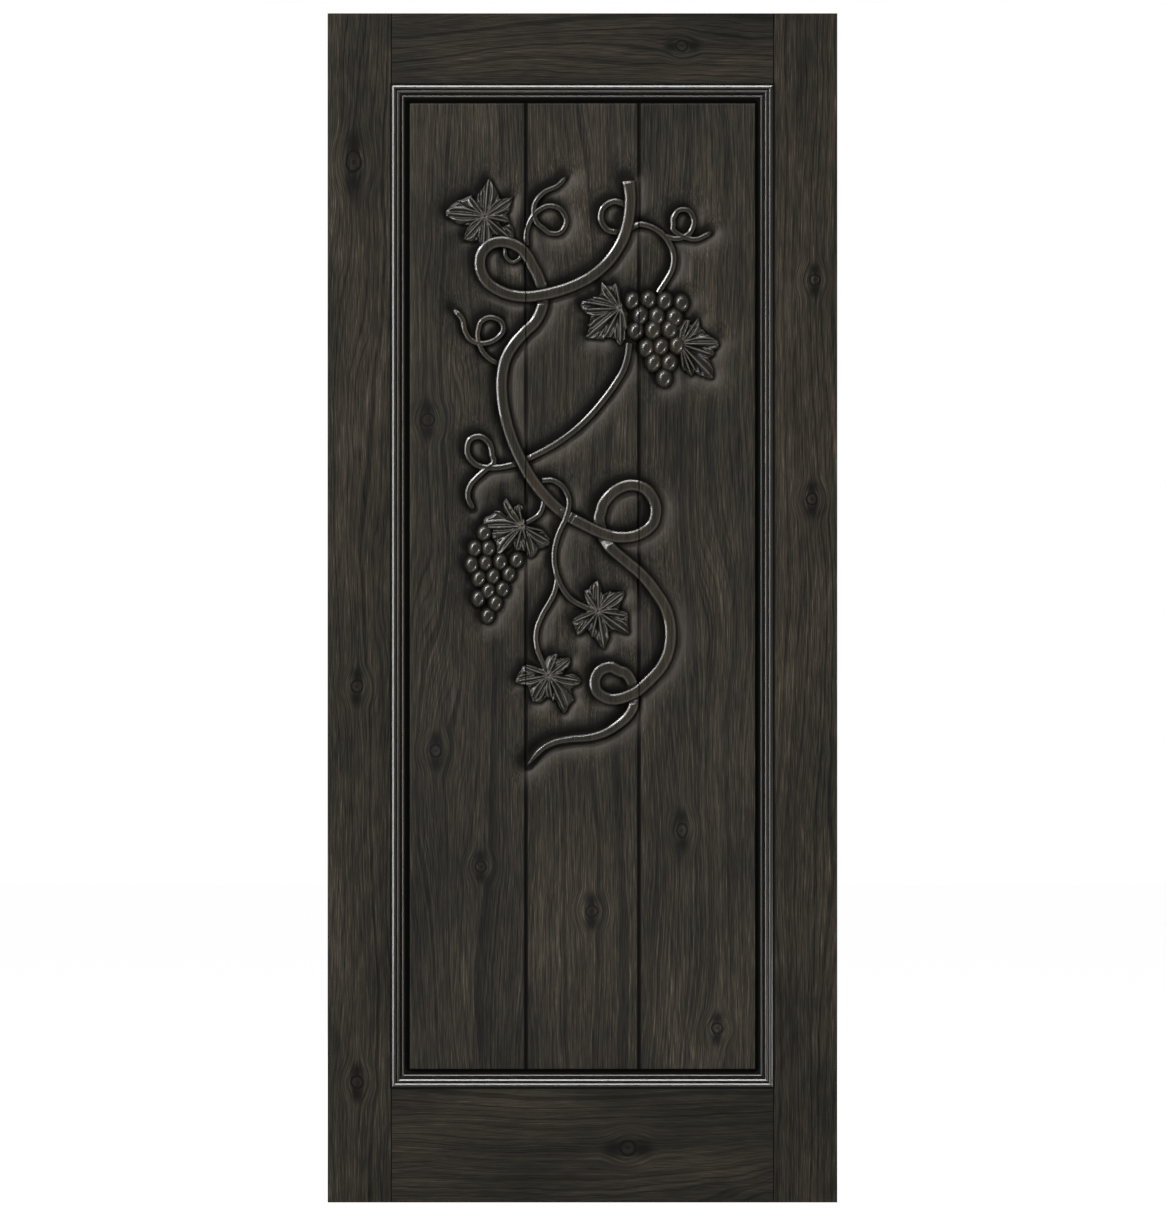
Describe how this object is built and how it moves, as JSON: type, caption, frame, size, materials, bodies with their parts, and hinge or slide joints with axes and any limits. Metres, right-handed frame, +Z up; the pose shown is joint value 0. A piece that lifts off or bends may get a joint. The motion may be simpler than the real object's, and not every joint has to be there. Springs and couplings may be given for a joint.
{
  "type": "wine cellar door",
  "caption": "Rail and stile door leaf of dark stained wood with a planked panel, mitred mouldings and a carved grapevine with leaves and grape bunches on its front.",
  "frame": {"origin": "bottom of the hinge edge's face, in the middle of the door's thickness", "axes": "+X across the door from the hinge edge to the lock edge, +Z up, the carved front faces -Y"},
  "size_m": [0.9144, 0.055, 2.1336],
  "materials": {
    "frame_wood": "charcoal stain on knotty alder under satin lacquer",
    "plank_wood": "charcoal stain on knotty alder under satin lacquer",
    "moulding_wood": "charcoal stain on knotty alder under satin lacquer",
    "vine_wood": "charcoal stain on knotty alder under satin lacquer",
    "leaf_wood": "charcoal stain on knotty alder under satin lacquer",
    "grape_wood": "charcoal stain on knotty alder under satin lacquer"
  },
  "bodies": {
    "root": {"left_stile": "frame_wood", "right_stile": "frame_wood", "top_rail": "frame_wood", "bottom_rail": "frame_wood", "left_plank": "plank_wood", "middle_plank": "plank_wood", "right_plank": "plank_wood", "front_left_moulding": "moulding_wood", "front_bottom_moulding": "moulding_wood", "front_right_moulding": "moulding_wood", "front_top_moulding": "moulding_wood", "back_left_moulding": "moulding_wood", "back_bottom_moulding": "moulding_wood", "back_right_moulding": "moulding_wood", "back_top_moulding": "moulding_wood", "upper_vine_stem": "vine_wood", "middle_vine_stem": "vine_wood", "lower_vine_stem": "vine_wood", "vine_stem_tip": "vine_wood", "upper_left_tendril": "vine_wood", "upper_grape_stalk": "vine_wood", "right_tendril": "vine_wood", "left_tendril": "vine_wood", "long_branch": "vine_wood", "lower_grape_stalk": "vine_wood", "leaf_branch": "vine_wood", "bottom_leaf_stalk": "vine_wood", "inner_curl": "vine_wood", "top_left_leaf": "leaf_wood", "upper_bunch_left_leaf": "leaf_wood", "upper_bunch_right_leaf": "leaf_wood", "lower_bunch_leaf": "leaf_wood", "middle_leaf": "leaf_wood", "bottom_leaf": "leaf_wood", "upper_grape_bunch": "grape_wood", "lower_grape_bunch": "grape_wood"}
  },
  "joints": []
}
